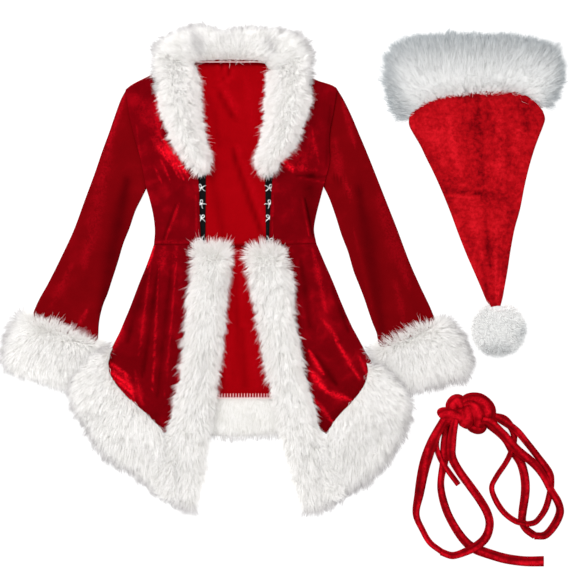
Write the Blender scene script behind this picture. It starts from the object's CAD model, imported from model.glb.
"""Looks of a christmas costume dress laid flat with its pointed hat and its tie belt.

Outlines and strokes are in millimetres, in plan, +X to the right and +Y towards the collar.
Heights come from the frame, so every piece lies where its solid lies.
"""

import logging
import math
from dataclasses import dataclass, field, replace
from enum import Enum
from typing import ClassVar

import bmesh
import bpy
import numpy as np
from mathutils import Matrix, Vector
from mathutils.bvhtree import BVHTree
from mathutils.kdtree import KDTree


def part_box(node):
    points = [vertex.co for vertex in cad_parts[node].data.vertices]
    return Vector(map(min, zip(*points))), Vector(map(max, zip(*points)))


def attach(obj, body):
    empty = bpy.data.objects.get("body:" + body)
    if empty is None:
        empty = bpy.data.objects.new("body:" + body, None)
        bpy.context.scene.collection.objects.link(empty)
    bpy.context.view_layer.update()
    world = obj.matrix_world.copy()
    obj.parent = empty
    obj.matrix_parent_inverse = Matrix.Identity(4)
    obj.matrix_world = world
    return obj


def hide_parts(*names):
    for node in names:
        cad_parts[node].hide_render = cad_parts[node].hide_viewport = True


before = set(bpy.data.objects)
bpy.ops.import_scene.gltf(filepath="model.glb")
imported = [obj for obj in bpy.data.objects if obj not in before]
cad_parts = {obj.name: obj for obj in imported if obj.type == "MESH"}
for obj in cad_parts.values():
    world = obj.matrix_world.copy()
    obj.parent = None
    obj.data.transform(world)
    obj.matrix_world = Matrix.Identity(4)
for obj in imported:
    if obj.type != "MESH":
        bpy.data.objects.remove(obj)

LOG = logging.getLogger("dress")
MM = 0.001
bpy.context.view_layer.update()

CAMERA_CENTRE = (8.0, 16.0)
CAMERA_HEIGHT = 3.2
CAMERA_LENS = 100.0
SENSOR_WIDTH = 36.0
FLOOR_HALF = 6.0
FLOOR_DROP = 0.0004
FLOOR_GLOW = 0.8
GLOW_STRENGTH = 1.1
WORLD_STRENGTH = 1.12
SOFTBOX_PLACE = (-1.3, 1.4, 1.9)
SOFTBOX_SIZE = (1.6, 1.2)
SOFTBOX_POWER = 42.0

# Scales of the finishes' noise, in patches to a metre
BROAD_PATCHES = 17.0
LOOSE_TUFTS = 45.0
CRINKLES = 130.0
RIBS = 200.0
WEAR = 600.0
NAP = 900.0
TWIST = 1500.0
TRANSLUCENT_SHARE = 0.42

CLOTH_WALL = 1.5
SLEEVE_WALL = 1.2
BACKING_WALL = 3.0
BELT_LAP = 2.0
PROBE_ABOVE = 1.0

# How far a cloth panel's height dips at its long edges, and how fast the dip fades
EDGE_DIP = 0.5
EDGE_FALL = 40

# A backing's height over its underside, and how full it is where it is free and where sewn
BACKING_LIFT = 0.2
FREE_EDGE = 0.35
SEWN_EDGE = 0.55
SHOULDER = 0.22
INNER_SHRINK = 0.02
CORNER_SINK = 0.62

# Fibres in a tuft, guard hairs among them, and the spread of their lengths and of their pull
FIBRES_IN_TUFT = 20
GUARD_SHARE = 0.14
GUARD_LONGER = 0.3
GUARD_LOOSER = 0.7
GUARD_THINNER = 0.35
FIBRE_WIDTH = 0.85
FIBRE_LENGTHS = (0.6, 1.05)
TUFT_LENGTHS = (0.78, 1.45)
TUFT_PULLS = (0.4, 1.0)
MIDDLE_PULL = 0.3

# How fibres lean and droop, how far a tuft's tips stay apart, and the share of the ceiling
# from which they bend over
ROOT_LEAN = 0.75
TIP_LEAN = 0.9
TIP_DROOP = 0.35
TUFT_SPREAD = 0.22
KNEE = 0.6

# The box in plan where the cone's tip lies, which the pompom's fibres stay out of
POMPOM_SEAT = (408.0, -23.0, 438.0, 20.0)

# Cloth round a belt tube for its width, and along a fold of the knot for what shows
TUBE_ROUND = 2.15

# The overlock's low and high edge, thread, pitch and ends, and the neck's seam, in mm
OVERLOCK_EDGES = (-203.0, -194.0)
OVERLOCK_THREAD = 1.3
OVERLOCK_PITCH = 5.6
OVERLOCK_ENDS = (-146.0, -18.0)
NECK_SEAM_Y = 467.5
NECK_SEAM_ENDS = (-176, -36)

SIDES = ("left", "right")


class Held(Enum):
    """How a piece of cloth is kept in its place."""

    LAID = "laid"
    FOLDED = "folded"


Rows = tuple[tuple[float, ...], ...]

# Each row is a straight line across a piece: left x, left y, right x, right y, and a bow in y.
OUTLINES: dict[str, Rows] = {
    "back_bodice": (
        (-240, 473, 36, 473), (-260, 446, 54, 437), (-316, 412, 106, 414), (-309, 364, 98, 364),
        (-302, 332, 92, 332), (-294, 302, 90, 302), (-285, 268, 91, 268), (-276, 220, 81, 226),
        (-268, 192, 72, 192), (-261, 160, 64, 160), (-258, 130, 60, 132), (-260, 102, 65, 104),
    ),
    "back_skirt": (
        (-260, 102, 65, 104), (-268, 78, 76, 78), (-288, 28, 98, 28), (-308, -24, 119, -24),
        (-328, -72, 141, -72), (-341, -98, 155, -100), (-353, -128, 170, -128, -10),
        (-353, -160, 171, -160, -43),
    ),
    "hem_back": (
        (-350, -150, -350, -206), (-322, -166, -326, -234), (-270, -186, -274, -262),
        (-200, -201, -202, -280), (-98, -203, -98, -289), (0, -201, 0, -281), (70, -187, 72, -262),
        (134, -168, 138, -232), (170, -150, 172, -204),
    ),
    "front_bodice_left": (
        (-316, 412, -258, 446), (-309, 364, -240, 400), (-302, 332, -216, 345),
        (-294, 302, -196, 302), (-285, 268, -177, 262), (-276, 220, -170, 222),
        (-268, 192, -169, 190), (-261, 160, -168, 158), (-258, 130, -167, 130),
        (-260, 102, -166, 102.2),
    ),
    "front_bodice_right": (
        (52, 437, 106, 414), (40, 400, 98, 364), (22, 345, 92, 332), (0, 302, 90, 302),
        (-18, 262, 91, 268), (-24, 222, 81, 226), (-26, 190, 72, 192), (-28, 158, 64, 160),
        (-29, 130, 60, 132), (-30, 102, 65, 104),
    ),
    "front_skirt_left": (
        (-260, 102, -176, 102.2), (-268, 78, -178, 76), (-278, 52, -179, 48), (-288, 28, -182, 20),
        (-298, 2, -186, -8), (-308, -24, -190, -38), (-318, -48, -191, -66), (-328, -72, -194, -92),
        (-341, -98, -197, -118), (-354, -126, -200, -144), (-352, -156, -204, -170),
        (-334, -184, -210, -192), (-310, -210, -215, -214), (-284, -234, -220, -236),
        (-256, -260, -228, -258), (-244, -272, -236, -272),
    ),
    "front_skirt_right": (
        (-6, 102.5, 65, 104), (0, 76, 77, 76), (6, 50, 88, 50), (12, 24, 98, 26), (16, 0, 109, 0),
        (14, -28, 120, -26), (16, -54, 132, -54), (24, -80, 146, -80), (30, -106, 162, -110),
        (33, -130, 175, -134), (38, -154, 173, -160), (46, -178, 162, -189), (54, -200, 148, -208),
        (59, -222, 128, -228), (64, -246, 106, -250), (74, -270, 88, -276),
    ),
    "sleeve_left": (
        (-313, 416, -273, 218), (-326, 392, -284, 196), (-338, 360, -297, 170),
        (-350, 325, -309, 135), (-363, 290, -321, 105), (-378, 246, -332, 68),
        (-398, 192, -343, 34), (-420, 132, -352, 6), (-446, 76, -361, -16), (-470, 28, -367, -38),
        (-490, -8, -370, -58), (-501, -35.3, -371, -82.9), (-506, -49, -376, -97),
    ),
    "sleeve_right": (
        (77, 222, 103, 418), (90, 196, 118, 394), (103, 160, 134, 362), (115, 122, 150, 324),
        (128, 88, 166, 286), (139, 50, 182, 246), (150, 22, 204, 190), (160, -4, 226, 134),
        (168, -28, 250, 70), (177, -54, 272, 20), (185, -74, 291, -20), (188, -92.8, 301.5, -47.4),
        (193.4, -106.7, 306, -61.3),
    ),
    "cuff_left": (
        (-524, -30, -346, -97), (-542, -50, -356, -118), (-556, -78, -364, -142),
        (-564, -106, -370, -166), (-557, -132, -376, -186), (-546, -147, -382, -197),
    ),
    "cuff_right": (
        (166, -105, 316, -45), (174, -124, 338, -56), (180, -146, 358, -76), (186, -166, 370, -104),
        (193, -184, 376, -132), (200, -200, 366, -163),
    ),
    "front_band_left": (
        (-190, 100, -100, 98, 8), (-189, 62, -101, 62), (-192, 28, -106, 24),
        (-199, -14, -110, -16), (-201, -52, -114, -54), (-205, -88, -116, -92),
        (-209, -126, -121, -128), (-213, -168, -127, -166), (-222, -204, -131, -204),
        (-229, -240, -137, -242), (-238, -274, -142, -282), (-236, -310, -147, -318),
        (-233, -346, -150, -352), (-230, -382, -160, -388), (-226, -412, -170, -424, -8),
    ),
    "front_band_right": (
        (-82, 96, 7, 92, 8), (-79, 64, 14, 58), (-73, 28, 22, 26), (-67, -6, 25, -10),
        (-59, -44, 27, -48), (-53, -84, 35, -84), (-46, -122, 41, -122), (-36, -164, 48, -164),
        (-28, -202, 60, -202), (-20, -244, 70, -244), (-11, -284, 83, -280), (-2, -324, 87, -316),
        (8, -364, 92, -352), (19, -400, 98, -386), (32, -428, 103, -414, -8),
    ),
    "hem_front_left": (
        (-362, -104, -342, -100), (-398, -142, -350, -122), (-428, -186, -350, -152),
        (-414, -232, -332, -182), (-398, -262, -312, -204), (-376, -302, -292, -222),
        (-346, -331, -274, -238), (-308, -352, -260, -252), (-274, -380, -248, -264),
        (-248, -402, -244, -272), (-230, -411, -242, -279), (-208, -420, -224, -290),
    ),
    "hem_front_right": (
        (166, -130, 184, -138), (170, -148, 212, -156), (167, -166, 240, -188),
        (158, -186, 253, -220), (146, -202, 248, -258), (132, -218, 230, -294),
        (118, -232, 206, -334), (106, -246, 174, -367), (98, -258, 142, -388),
        (91, -270, 122, -402), (86.5, -282, 105.5, -413), (70, -290, 84, -424),
    ),
    "hem_corner_left": ((-252, -276, -220, -276), (-254, -320, -218, -320),
                        (-252, -360, -216, -362), (-244, -396, -212, -400)),
    "hem_corner_right": ((66, -282, 98, -282), (70, -326, 106, -324), (76, -366, 112, -364),
                         (84, -402, 112, -398)),
    "lapel_left": (
        (-262, 488, -172, 455), (-260, 450, -166, 424), (-250, 392, -163, 386),
        (-238, 344, -161, 346), (-222, 304, -152, 308), (-202, 277, -142, 274),
        (-184, 257, -150, 256), (-174, 249, -158, 250),
    ),
    "lapel_right": (
        (-36, 446, 58, 484), (-38, 424, 54, 446), (-41, 388, 52, 392), (-43, 346, 40, 346),
        (-52, 302, 22, 303), (-62, 270, -2, 275), (-52, 256, -14, 257), (-40, 251, -26, 249),
    ),
    "collar_back": (
        (-262, 488.5, -178, 458), (-254, 506, -174, 466), (-230, 523, -160, 469),
        (-188, 536, -140, 470), (-166, 540, -120, 471), (-124, 531, -104, 471),
        (-68, 536, -86, 471), (-8, 532, -68, 470), (26, 524, -50, 469), (46, 507, -38, 464),
        (58, 484.5, -32, 452),
    ),
    "hook_tape_left": ((-177, 250, -156, 250), (-172, 180, -156.5, 180), (-171, 103, -157, 103)),
    "hook_tape_right": ((-38, 250, -17, 250), (-37, 180, -20, 180), (-36, 103, -24, 103)),
    "hat_cone": (
        (249, 358, 516, 368, 46), (249, 341, 520, 353, 50), (256, 326, 516, 338, 44),
        (272, 300, 508, 316, 22), (284, 276, 500, 292, 10), (300, 244, 490, 258, 4),
        (316, 208, 481, 220), (333, 166, 472, 174), (350, 120, 461, 134), (366, 80, 453, 92),
        (380, 48, 447, 52), (393, 18, 441, 18), (403, -6, 437, -4), (412, -24, 432, -22),
    ),
    "hat_band": (
        (238, 327, 534, 350, 66), (214, 358, 549, 374, 56), (203, 402, 558, 402, 40),
        (200, 434, 563, 438, 36), (206, 468, 558, 464, 32), (224, 494, 540, 490, 26),
    ),
}

# The middle line of each stretch of the belt, with its width, from the lowest stretch up.
BELT_LINES: dict[str, Rows] = {
    "belt_long_end": (
        (328, -248, 14), (322, -293, 18), (320, -330, 17), (314, -363, 14), (314, -388, 15),
        (321, -418, 16), (332, -445, 16), (350, -475, 17), (367, -495, 18), (384, -506, 20),
        (412, -516, 20), (444, -525, 20), (482, -530, 20), (517, -530, 21),
    ),
    "belt_short_end": (
        (327, -253, 10), (310, -273, 11), (304, -298, 11), (312, -325, 11), (327, -348, 11),
        (347, -375, 11),
    ),
    "belt_left_loop_outer": (
        (318, -248, 17), (297, -288, 21), (285, -323, 23), (277, -356, 22), (270, -396, 19),
        (264, -436, 14), (277, -468, 12), (292, -493, 12), (314, -510, 12),
    ),
    "belt_left_loop_inner": (
        (315, -511, 14), (337, -518, 15), (362, -510, 16), (385, -498, 18), (404, -480, 18),
        (411, -456, 17), (406, -433, 17), (392, -408, 17), (372, -380, 17), (350, -350, 17),
        (335, -322, 18), (334, -296, 19), (336, -272, 18), (341, -247, 15),
    ),
    "belt_wide_loop_inner": (
        (402, -250, 18), (440, -280, 20), (457, -308, 19), (473, -333, 18), (481, -363, 18),
        (482, -393, 18), (477, -430, 17), (476, -450, 16), (484, -466, 15), (500, -478, 15),
    ),
    "belt_narrow_loop_inner": (
        (408, -240, 16), (438, -245, 16), (454, -263, 15), (459, -283, 13), (454, -308, 12),
        (442, -334, 11), (424, -362, 11), (415, -383, 11), (423, -408, 12), (440, -433, 12),
        (462, -449, 12), (482, -454, 12),
    ),
    "belt_narrow_loop_outer": (
        (483, -454, 12), (504, -449, 12), (521, -428, 13), (530, -400, 13), (534, -372, 13),
        (530, -352, 14), (508, -322, 14), (484, -292, 14), (458, -264, 15), (414, -236, 15),
    ),
    "belt_wide_loop_outer": (
        (501, -478, 15), (522, -477, 16), (540, -458, 17), (551, -433, 17), (547, -412, 16),
        (533, -388, 15), (517, -358, 15), (497, -333, 17), (466, -308, 18), (444, -285, 18),
        (412, -252, 17), (396, -246, 17),
    ),
}


# Folds of the knot, lowest first: points of x, y, z, width and height along each.
KNOT_FOLDS: dict[str, Rows] = {
    "tail_root": ((316, -256, 8, 17, 9), (328, -246, 11, 22, 11), (344, -240, 12, 22, 10)),
    "right_root": ((418, -244, 11, 17, 8), (406, -238, 13, 24, 10), (390, -234, 14, 26, 10)),
    "core": ((322, -238, 9, 20, 9), (346, -234, 11, 34, 12), (374, -236, 12, 38, 12),
             (398, -236, 10, 26, 9)),
    "bottom_lump": ((366, -256, 8, 15, 8), (378, -262, 9, 21, 11), (391, -264, 9, 21, 11),
                    (402, -256, 9, 14, 8)),
    "top_lobe": ((336, -234, 12, 20, 9), (336, -218, 14, 28, 14), (346, -210, 15, 30, 14),
                 (356, -222, 13, 22, 10)),
    "middle_lobe": ((368, -216, 13, 18, 9), (366, -232, 16, 28, 13), (362, -250, 16, 31, 13),
                    (356, -262, 10, 22, 9)),
    "cross_fold": ((307, -238, 12, 15, 9), (315, -234, 16, 25, 11), (332, -235, 17, 25, 11),
                   (348, -240, 17, 24, 10), (364, -246, 14, 18, 8)),
    "outer_wrap": ((352, -214, 14, 14, 8), (366, -204, 18, 20, 10), (388, -207, 19, 27, 12),
                   (404, -224, 19, 31, 12), (404, -242, 16, 30, 11), (398, -256, 10, 22, 9)),
    "inner_wrap": ((356, -219, 15, 12, 7), (367, -211, 19, 17, 9), (379, -219, 21, 22, 11),
                   (387, -238, 20, 25, 11), (388, -256, 14, 22, 9), (386, -266, 8, 15, 8)),
}

# Bent wire of a hook and of the loops that it is sewn on by, inwards to the right.
HOOK_WIRE: Rows = (
    (8.5, 4.2), (5, 3.4), (1.6, 1.0), (-1.6, -0.8), (-4.4, -0.2), (-7.2, -1.8), (-7.0, -4.6),
    (-4.4, -5.6), (-2.2, -3.6), (-0.6, 0.2), (-0.4, 3.6), (-2.4, 6.2), (-4.8, 5.0), (-4.6, 2.2),
    (-1.8, 0.6), (1.4, -1.6), (4.0, -4.6), (7.2, -5.8),
)
HOOK_WIRE_WIDTH = 2.0
HOOK_SIZE = 1.12
HOOK_X = {"left": -164.5, "right": -29.5}
HOOK_Y = (246, 216, 184, 155, 111)
HOOK_TURN = (20, 0, -34, -72, 35)
HOOK_RISE = 0.6
LAST_HOOK_RISE = 7


@dataclass(frozen=True)
class Stroke:
    """A soft ridge, trough or streak along a line in plan.

    Args:
        points: Points of the line, in mm.
        width: Half width at which it has faded, in mm.
        lift: Height of the ridge, negative for a trough, in mm.
        shine: How much lighter the nap looks there, negative for darker.
        tapers: Whether it narrows towards its ends.
    """

    points: tuple[tuple[float, ...], ...]
    width: float
    lift: float = 0.0
    shine: float = 0.0
    tapers: bool = True

    def weight(self, x: np.ndarray, y: np.ndarray) -> np.ndarray:
        """Returns how much of the stroke is felt at each point, from 0 to 1."""
        nearest = np.full(np.shape(x), np.inf)
        for start, end in zip(self.points, self.points[1:]):
            run = np.subtract(end, start)
            along = ((x - start[0]) * run[0] + (y - start[1]) * run[1]) / (run @ run)
            along = np.clip(along, 0.0, 1.0)
            away = np.hypot(x - start[0] - along * run[0], y - start[1] - along * run[1])
            if self.tapers:
                away /= 0.45 + 0.55 * np.sin(math.pi * np.clip(along, 0.04, 0.96))
            nearest = np.minimum(nearest, away)
        return np.exp(-((nearest / self.width) ** 2))


def strokes(*rows: tuple[float, ...]) -> tuple[Stroke, ...]:
    """Returns a stroke for each row of its two ends, then its width, lift and shine."""
    return tuple(Stroke((row[0:2], row[2:4]), *row[4:]) for row in rows)


def ribbon_strokes(rows: Rows, wander: float) -> tuple[Stroke, ...]:
    """Returns the lit crease and the dark edges of a ribbon.

    Args:
        rows: The ribbon's outline rows.
        wander: How far the crease strays from the middle, as a share of the width.
    """
    table = smooth_rows(rows, 5 * len(rows))
    near, run = table[:, 0:2], table[:, 2:4] - table[:, 0:2]
    width = float(np.linalg.norm(run, axis=1).mean())
    place = 0.5 + wander * np.sin(np.linspace(0.4, 9.0, len(table)))[:, None]
    looks = ((0.0, 0.2, 0.5, 0.4), (-0.3, 0.09, -0.4, -0.45), (0.3, 0.08, -0.2, -0.3))
    return tuple(Stroke(tuple(map(tuple, near + run * (place + aside))), share * width, lift,
                        shine, tapers=False) for aside, share, lift, shine in looks)


# Marks on each piece: two ends, half width, lift and shine.
STROKES: dict[str, tuple[Stroke, ...]] = {
    "front_skirt_left": strokes(
        (-266, 60, -290, -120, 3, 1.6, 0.26), (-250, 60, -262, -190, 2, 1.4, 0.4),
        (-214, 80, -238, -205, 2.2, 1.2, 0.3), (-276, 40, -312, -90, 9, -1.0, -0.3),
        (-250, 60, -282, -160, 6, -1.0, -0.3), (-226, 50, -252, -200, 6, -0.8, -0.25),
        (-346, -140, -302, -192, 13, 1.5, 0.4), (-346, -132, -306, -162, 3, 1.2, 0.6),
        (-348, -150, -304, -180, 3, 1.0, 0.6), (-340, -164, -300, -196, 3, 1.0, 0.6),
        (-318, -150, -298, -206, 3, 1.0, 0.5), (-326, -186, -296, -212, 3, 0.8, 0.5),
        (-296, -150, -282, -216, 4, 1.0, 0.3), (-258, 100, -272, 58, 3, 0.8, 0.7),
        (-322, -60, -346, -120, 6, 1.2, 0.3), (-202, -120, -222, -232, 5, 0.8, 0.3),
        (-240, 96, -246, 56, 12, 0.5, 0.22), (-214, 98, -220, 60, 10, 0.5, 0.18),
    ),
    "front_skirt_right": strokes(
        (50, -110, 78, -154, 5, 1.6, 0.9), (52, -148, 84, -190, 6, 1.8, 0.95),
        (84, -190, 132, -206, 6, 1.4, 0.7), (102, -86, 150, -164, 4, 1.4, 0.6),
        (76, -46, 108, -86, 4, 1.2, 0.45), (64, -120, 104, -176, 8, -1.2, -0.4),
        (34, 70, 52, -60, 7, -0.8, -0.25), (58, 92, 84, -30, 6, 1.0, 0.28),
        (96, 20, 128, -70, 6, -0.8, -0.3), (60, -206, 96, -250, 6, 1.0, 0.5),
        (150, -120, 168, -160, 4, 0.8, 0.4),
    ),
    "front_bodice_left": strokes(
        (-258, 312, -230, 276, 12, 0.8, 0.3), (-238, 296, -198, 250, 16, 1.2, 0.4),
        (-244, 316, -226, 292, 3, 0.6, 0.5), (-252, 300, -232, 270, 2.5, 0.6, 0.4),
        (-236, 296, -210, 236, 2.5, 0.6, 0.5), (-226, 290, -200, 232, 2.5, 0.6, 0.5),
        (-214, 276, -190, 236, 2.5, 0.6, 0.5), (-246, 272, -226, 228, 2.5, 0.5, 0.35),
        (-258, 258, -244, 226, 2.5, 0.5, 0.3), (-216, 184, -242, 112, 2.5, -0.6, -0.3),
        (-209, 186, -236, 114, 3, 0.6, 0.35), (-254, 400, -250, 320, 8, 0.6, 0.3),
        (-290, 396, -262, 330, 20, 0.6, 0.12), (-294, 340, -286, 262, 3, 0.4, 0.14),
        (-254, 108, -178, 108, 4, 0.4, 0.2), (-176, 200, -174, 110, 2.5, 0.4, 0.2),
    ),
    "front_bodice_right": strokes(
        (20, 306, 2, 272, 8, 0.8, 0.3), (-6, 276, 18, 250, 7, 1.0, 0.6),
        (26, 300, 44, 256, 15, 0.8, 0.2), (8, 258, 62, 250, 8, 0.8, 0.28),
        (56, 330, 70, 262, 3, 0.6, 0.25), (24, 240, 84, 238, 4, -0.8, -0.25),
        (32, 236, 80, 226, 2.5, 0.6, 0.3), (42, 194, 58, 118, 2.5, -0.6, -0.35),
        (36, 196, 50, 120, 3, 0.6, 0.3), (92, 380, 84, 262, 5, 0.5, -0.15),
        (-18, 108, 56, 110, 4, 0.4, 0.08), (50, 320, 66, 240, 9, 0.8, 0.15),
        (-22, 200, -24, 112, 2.5, 0.4, 0.18), (52, 250, 58, 130, 28, 0.0, -0.22),
    ),
    "sleeve_left": strokes(
        (-314, 230, -364, -30, 17, -0.6, -0.36), (-344, 320, -398, 60, 16, 1.2, 0.14),
        (-394, -28, -408, -56, 4, 1.0, 0.35), (-424, 60, -466, -20, 10, 0.8, 0.14),
        (-318, 400, -352, 300, 6, 0.6, 0.22),
    ),
    "sleeve_right": strokes(
        (150, 212, 196, -66, 17, -1.0, -0.3), (122, 230, 134, 196, 9, 0.6, 0.22),
        (100, 310, 112, 236, 12, 0.6, 0.16), (98, 238, 118, 226, 4, -0.6, -0.25),
        (190, 200, 250, 20, 16, 1.2, 0.14), (116, 390, 142, 300, 6, 0.6, 0.2),
        (222, 30, 240, -50, 8, 0.7, 0.14), (140, 130, 176, -20, 6, 0.5, 0.15),
    ),
    "back_bodice": strokes(
        (-180, 464, -20, 464, 3.2, -0.5, -0.9), (-118, 462, -112, 424, 3, 0.8, 0.4),
        (-106, 462, -104, 434, 3, 0.8, 0.35), (-132, 462, -130, 430, 3, 0.8, 0.3),
        (-92, 462, -92, 436, 3, 0.8, 0.3), (-112, 462, -109, 430, 2, -0.6, -0.4),
        (-125, 462, -121, 432, 2, -0.6, -0.3), (-124, 422, -88, 360, 6, 1.0, 0.5),
        (-134, 414, -98, 350, 6, -0.6, -0.35), (-104, 294, -44, 120, 7, 1.0, -0.4),
        (-94, 300, -34, 130, 7, 0.8, 0.3), (-146, 250, -122, 120, 9, -0.8, -0.2),
        (-76, 440, -60, 330, 9, 0.8, 0.2), (-148, 400, -128, 300, 8, -0.6, -0.2),
    ),
    "back_skirt": strokes(
        (-118, 99, -72, 99, 4, -0.6, -0.9), (-96, 96, -84, -60, 8, 0.8, 0.25),
        (-96, 40, -80, -180, 9, -0.8, -0.25), (-108, -60, -122, -190, 8, 0.8, 0.25),
        (-70, -60, -52, -190, 8, 0.8, 0.25),
    ),
    "collar_back": strokes(
        (-172, 512, -160, 478, 12, 0, -0.5), (-40, 510, -32, 480, 12, 0, -0.5),
        (-130, 506, -80, 508, 9, 0, -0.25),
    ),
    "hem_front_left": strokes((-358, -98, -424, -158, 4.5, 0, -0.95)),
    "hem_front_right": strokes((186, -140, 238, -188, 4.5, 0, -0.85)),
    "hat_cone": strokes(
        (322, 212, 378, 205, 2.5, -1.0, -0.4), (376, 206, 420, 200, 2.5, -0.8, -0.32),
        (330, 200, 392, 195, 4, 1.2, 0.35), (340, 222, 420, 214, 4, 1.0, 0.25),
        (382, 396, 396, 220, 8, -0.8, -0.3), (396, 200, 414, 40, 5, -0.6, -0.25),
        (402, 390, 410, 340, 4, -0.6, -0.3), (470, 392, 482, 330, 10, -0.6, -0.2),
        (330, 360, 352, 240, 9, 1.2, 0.3), (430, 370, 430, 240, 10, 1.2, 0.25),
        (470, 360, 462, 270, 7, 1.0, 0.3), (300, 330, 320, 260, 6, 1.0, 0.28),
        (372, 180, 396, 70, 6, 0.8, 0.2), (440, 180, 432, 90, 5, 0.8, 0.2),
        (394, 70, 410, -18, 5, -0.5, -0.3), (422, 130, 424, -6, 5, 0.6, 0.3),
        (434, 70, 427, -20, 2, 0.6, 0.4),
    ),
    "hat_pompom": strokes((398, -104, 454, -106, 15, 0, -0.4), (458, -92, 472, -58, 11, 0, -0.3)),
}

# What each piece lies on, where that isn't the floor. A star stands for the piece's own side.
RESTS_ON: dict[str, tuple[str, ...]] = {
    "sleeve_*": ("back_bodice", "cuff_*"),
    "hook_tape_*": ("back_bodice",),
    "front_bodice_*": ("back_bodice", "sleeve_*", "hook_tape_*"),
    "front_skirt_*": ("back_skirt", "hem_back"),
    "hem_back": ("back_skirt",),
    "hem_front_*": ("front_skirt_*", "cuff_*"),
    "front_band_*": ("front_skirt_*", "back_skirt"),
    "lapel_*": ("front_bodice_*", "back_bodice"),
    "collar_back": ("back_bodice",),
    "hat_cone": ("hat_band",),
}


def lies_on(node: str) -> tuple[str, ...]:
    """Returns what a node's piece lies on: other nodes, or the floor."""
    side = node.rpartition("_")[2]
    kind = node.replace(side, "*") if side in SIDES else node
    return tuple(name.replace("*", side) for name in RESTS_ON.get(kind, ("floor",)))


def linear(hex_colour: str) -> tuple[float, float, float, float]:
    """Turns an sRGB hex colour into linear values.

    Args:
        hex_colour: Six digits after a hash.

    Returns:
        Red, green, blue and alpha.
    """
    values = [int(hex_colour[i : i + 2], 16) / 255 for i in (1, 3, 5)]
    low_end = [v / 12.92 if v <= 0.04045 else ((v + 0.055) / 1.055) ** 2.4 for v in values]
    return (*low_end, 1.0)


class Graph:
    """The nodes of a new material, each made by a call that returns its output."""

    def __init__(self, name: str) -> None:
        """Starts an empty node material.

        Args:
            name: The material's name.
        """
        self.material = bpy.data.materials.new(name)
        self.material.use_nodes = True
        self.tree = self.material.node_tree
        self.tree.nodes.clear()
        self.place = self.node("TexCoord", out="Object")

    def node(self, kind: str, inputs: dict | None = None, out: int | str = 0, **settings):
        """Adds a node, sets its settings, and sets or links its inputs.

        Args:
            kind: The node's type name, after ShaderNode.
            inputs: Values, or sockets to link from, under input names or numbers.
            out: Name or number of the output that is wanted.
            settings: Attributes of the node.

        Returns:
            That output.
        """
        node = self.tree.nodes.new("ShaderNode" + kind)
        for name, value in settings.items():
            setattr(node, name, value)
        for name, value in (inputs or {}).items():
            if isinstance(value, bpy.types.NodeSocket):
                self.tree.links.new(value, node.inputs[name])
            else:
                node.inputs[name].default_value = value
        return node.outputs[out]

    def attribute(self, name: str):
        """Returns a value that is painted on the mesh."""
        return self.node("Attribute", out="Fac", attribute_name=name)

    def noise(self, scale: float, detail: float = 2.0, **more: float):
        """Returns noise of so many patches to a metre."""
        inputs = {"Vector": self.place, "Scale": scale, "Detail": detail, **more}
        return self.node("TexNoise", inputs, "Fac")

    def spread(self, value, source: tuple[float, float], target: tuple[float, float]):
        """Returns a value with one range spread over another."""
        return self.node("MapRange", {
            "Value": value, "From Min": source[0], "From Max": source[1],
            "To Min": target[0], "To Max": target[1],
        }, "Result")

    def math(self, way: str, *values):
        """Returns the outcome of some arithmetic on values or sockets."""
        return self.node("Math", dict(enumerate(values)), operation=way)

    def bump(self, height, strength: float, distance: float, **more):
        """Returns the normal of a surface that a height has raised."""
        return self.node(
            "Bump", {"Strength": strength, "Distance": distance, "Height": height, **more})

    def ramp(self, factor, *stops: tuple[float, str]):
        """Returns a colour from a ramp with its stops as place and hex colour."""
        colour = self.node("ValToRGB", {"Fac": factor})
        elements = colour.node.color_ramp.elements
        for element, (place, shade) in zip(list(elements), stops[:2]):
            element.position = place
            element.color = linear(shade)
        for place, shade in stops[2:]:
            elements.new(place).color = linear(shade)
        return colour

    def close(self, kind: str, inputs: dict) -> bpy.types.Material:
        """Puts the last shader on the surface, and returns the material."""
        output = self.tree.nodes.new("ShaderNodeOutputMaterial")
        self.tree.links.new(self.node(kind, inputs), output.inputs["Surface"])
        return self.material


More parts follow.
